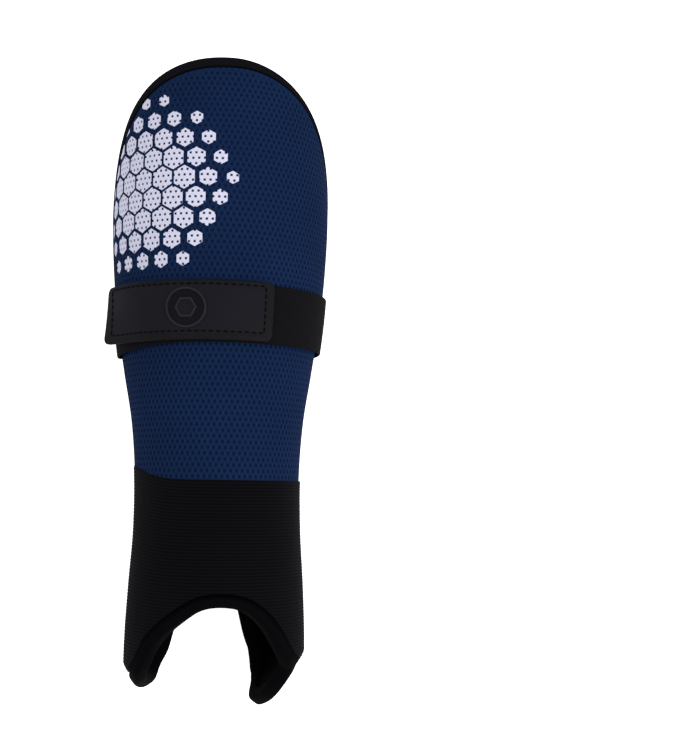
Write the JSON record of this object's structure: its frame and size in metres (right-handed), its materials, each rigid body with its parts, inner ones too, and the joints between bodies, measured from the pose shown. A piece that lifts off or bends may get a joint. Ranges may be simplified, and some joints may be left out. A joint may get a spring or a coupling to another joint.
{
  "type": "field hockey shin guard",
  "caption": "Padded shin guard with a bowed mesh-covered shell, bound edge, elastic calf strap with a rubber pull tab, and a ribbed ankle sleeve with lobes over the ankle bones.",
  "frame": {"origin": "on the floor under the middle of the whole guard, which lies face up", "axes": "+Z out of the shin's front, +Y along the guard towards the knee, +X to the right as seen from the front"},
  "size_m": [0.1192, 0.3338, 0.0732],
  "materials": {
    "mesh_cover": "navy holed mesh over a padded shell",
    "binding_tape": "black knitted tape",
    "strap_elastic": "black woven elastic",
    "tab_rubber": "black satin moulded rubber",
    "sleeve_elastic": "black ribbed elastic",
    "lining_cloth": "black brushed lining",
    "hem_cloth": "black rolled hem"
  },
  "bodies": {
    "root": {"shin_shell": "mesh_cover", "edge_binding": "binding_tape", "calf_strap": "strap_elastic", "pull_tab": "tab_rubber", "ankle_sleeve": "sleeve_elastic", "ankle_lining": "lining_cloth", "arch_binding": "hem_cloth"}
  },
  "joints": []
}
